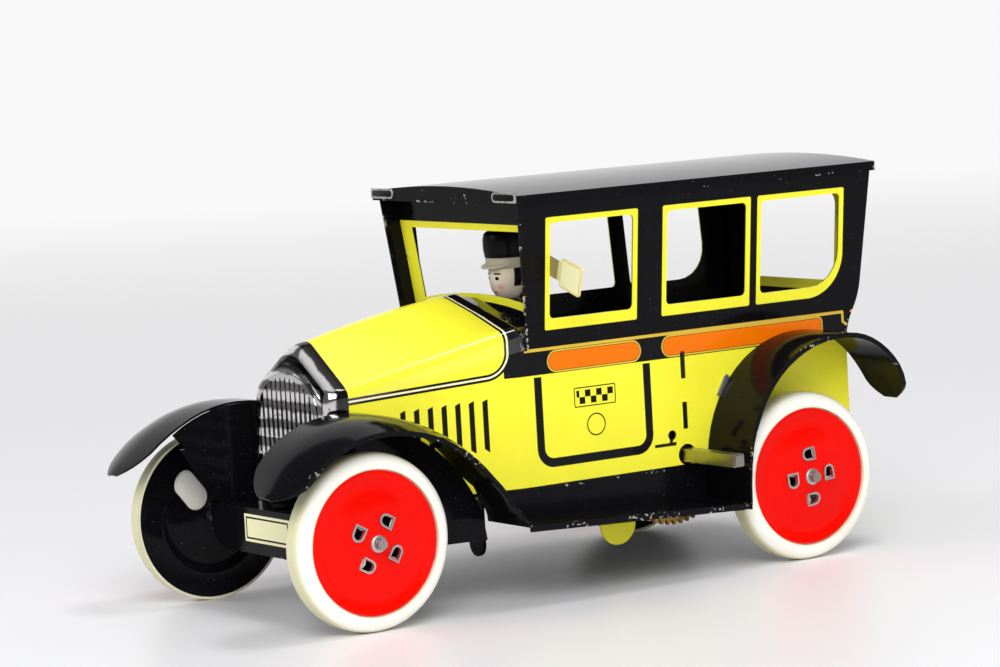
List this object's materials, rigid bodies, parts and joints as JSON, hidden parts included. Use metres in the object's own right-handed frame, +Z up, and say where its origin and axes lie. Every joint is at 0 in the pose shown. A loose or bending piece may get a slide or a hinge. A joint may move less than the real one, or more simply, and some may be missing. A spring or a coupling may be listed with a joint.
{
  "type": "clockwork toy taxi",
  "caption": "Tinplate toy taxi with a tabbed sheet body, pressed wheels, a swivelling front axle and a geared spring motor that drives the rear axle.",
  "frame": {"origin": "on the ground, midway between the axles, on the centre plane", "axes": "X forward, Y to the car's left, Z up"},
  "size_m": [0.1789, 0.0889, 0.0943],
  "materials": {
    "yellow_tin": "gloss litho print",
    "black_tin": "gloss lacquer",
    "red_tin": "gloss lacquer",
    "cream_tin": "gloss lacquer",
    "printed_tin": "printed",
    "plated_tin": "nickel plated",
    "bare_steel": "bright",
    "spring_steel": "blued",
    "gear_brass": "stamped"
  },
  "bodies": {
    "body": {"chassis_plate": "black_tin", "front_valance": "black_tin", "running_board_left": "black_tin", "running_board_right": "black_tin", "body_side_left": "yellow_tin", "body_side_right": "yellow_tin", "upper_side_left": "black_tin", "upper_side_right": "black_tin", "windscreen_panel": "black_tin", "rear_panel": "black_tin", "roof": "black_tin", "bonnet": "yellow_tin", "radiator": "plated_tin", "front_apron_left": "black_tin", "front_apron_right": "black_tin", "front_fender_left": "black_tin", "front_fender_right": "black_tin", "rear_fender_left": "black_tin", "rear_fender_right": "black_tin", "steering_rivet": "bare_steel", "rear_axle_bracket": "bare_steel", "motor_plate_left": "bare_steel", "motor_plate_right": "bare_steel", "motor_pillars": "bare_steel", "mainspring": "spring_steel", "stop_rivet": "bare_steel", "driver_figure": "printed_tin", "meter_flag": "cream_tin"},
    "steering": {"steering_plate": "bare_steel"},
    "front_wheels": {"front_axle": "bare_steel", "tyre_front_left": "cream_tin", "tyre_front_right": "cream_tin", "disc_front_left": "red_tin", "disc_front_right": "red_tin", "back_front_left": "black_tin", "back_front_right": "black_tin"},
    "rear_wheels": {"rear_axle": "bare_steel", "axle_pinion": "gear_brass", "tyre_rear_left": "cream_tin", "tyre_rear_right": "cream_tin", "disc_rear_left": "red_tin", "disc_rear_right": "red_tin", "back_rear_left": "black_tin", "back_rear_right": "black_tin"},
    "intermediate": {"intermediate_shaft": "bare_steel", "intermediate_wheel": "gear_brass", "intermediate_pinion": "gear_brass"},
    "great": {"great_wheel": "gear_brass", "ratchet_click": "bare_steel"},
    "arbor": {"winding_arbor": "bare_steel", "ratchet_wheel": "bare_steel"},
    "stop": {"stop_lever": "yellow_tin"}
  },
  "joints": [
    {"name": "steer", "type": "hinge", "parent": "body", "child": "steering", "pos_m": [0.061, 0, 0.0237], "axis": [0, 0, 1], "range_deg": [-6, 6]},
    {"name": "front_axle_spin", "type": "hinge", "parent": "steering", "child": "front_wheels", "pos_m": [0.061, 0, 0.02], "axis": [0, 1, 0], "continuous": true},
    {"name": "rear_axle_spin", "type": "hinge", "parent": "body", "child": "rear_wheels", "pos_m": [-0.061, 0, 0.02], "axis": [0, 1, 0], "continuous": true},
    {"name": "intermediate_spin", "type": "hinge", "parent": "body", "child": "intermediate", "pos_m": [-0.05397, 0, 0.03266], "axis": [0, 1, 0], "continuous": true},
    {"name": "great_wheel_spin", "type": "hinge", "parent": "body", "child": "great", "pos_m": [-0.0348, 0, 0.0274], "axis": [0, 1, 0], "continuous": true},
    {"name": "winding_turn", "type": "hinge", "parent": "body", "child": "arbor", "pos_m": [-0.0348, 0, 0.0274], "axis": [0, 1, 0], "continuous": true},
    {"name": "stop_swing", "type": "hinge", "parent": "body", "child": "stop", "pos_m": [-0.01602, 0, 0.02], "axis": [0, 1, 0], "range_deg": [-8, 8]}
  ],
  "couplings": [
    {"joint": "intermediate_spin", "follows": "rear_axle_spin", "ratio": -0.33333},
    {"joint": "great_wheel_spin", "follows": "rear_axle_spin", "ratio": 0.059524}
  ]
}
